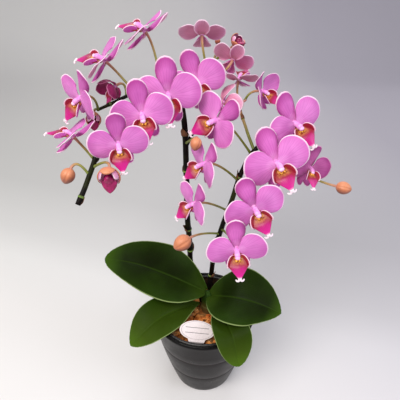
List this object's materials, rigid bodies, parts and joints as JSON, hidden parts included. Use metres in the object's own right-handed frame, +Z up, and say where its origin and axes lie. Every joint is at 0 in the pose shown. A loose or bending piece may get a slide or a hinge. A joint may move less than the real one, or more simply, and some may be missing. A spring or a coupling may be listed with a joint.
{
  "type": "potted moth orchid",
  "caption": "Multi-flowered pink moth orchid with arching spikes, strap leaves and bark, standing in a flared dark cover pot.",
  "frame": {"origin": "centre of the cover pot's base", "axes": "+Z up, the plant is viewed from -Y, +X to its right"},
  "size_m": [0.3007, 0.1647, 0.4591],
  "materials": {
    "cover_glaze": "dark grey, semi-gloss",
    "grower_plastic": "black, thin wall",
    "bark": "rough chips",
    "label_card": "matte, blank",
    "stem_green": "satin plant tissue",
    "leaf": "satin, thick leaf",
    "spike": "dark purple-black stem",
    "petal": "soft matte petal",
    "bud_skin": "satin bud"
  },
  "bodies": {
    "root": {"cover_pot": "cover_glaze", "grower_pot": "grower_plastic", "bark_mix": "bark", "plant_label": "label_card", "stem_base": "stem_green", "leaf_left_upper": "leaf", "leaf_left_lower": "leaf", "leaf_right_upper": "leaf", "leaf_right_lower": "leaf", "spike_left": "spike", "spike_right": "spike", "flower_left_1": "petal", "flower_left_2": "petal", "flower_left_3": "petal", "flower_left_4": "petal", "flower_left_5": "petal", "flower_left_6": "petal", "flower_left_7": "petal", "flower_left_8": "petal", "flower_left_9": "petal", "flower_top_1": "petal", "flower_top_2": "petal", "flower_top_3": "petal", "flower_top_4": "petal", "flower_top_5": "petal", "flower_right_1": "petal", "flower_right_2": "petal", "flower_right_3": "petal", "flower_right_4": "petal", "flower_right_5": "petal", "flower_right_6": "petal", "flower_right_7": "petal", "flower_right_8": "petal", "half_open_1": "bud_skin", "half_open_2": "bud_skin", "half_open_3": "bud_skin", "bud_left": "bud_skin", "bud_right": "bud_skin", "bud_low": "bud_skin", "bud_middle": "bud_skin", "bud_top": "bud_skin"}
  },
  "joints": []
}
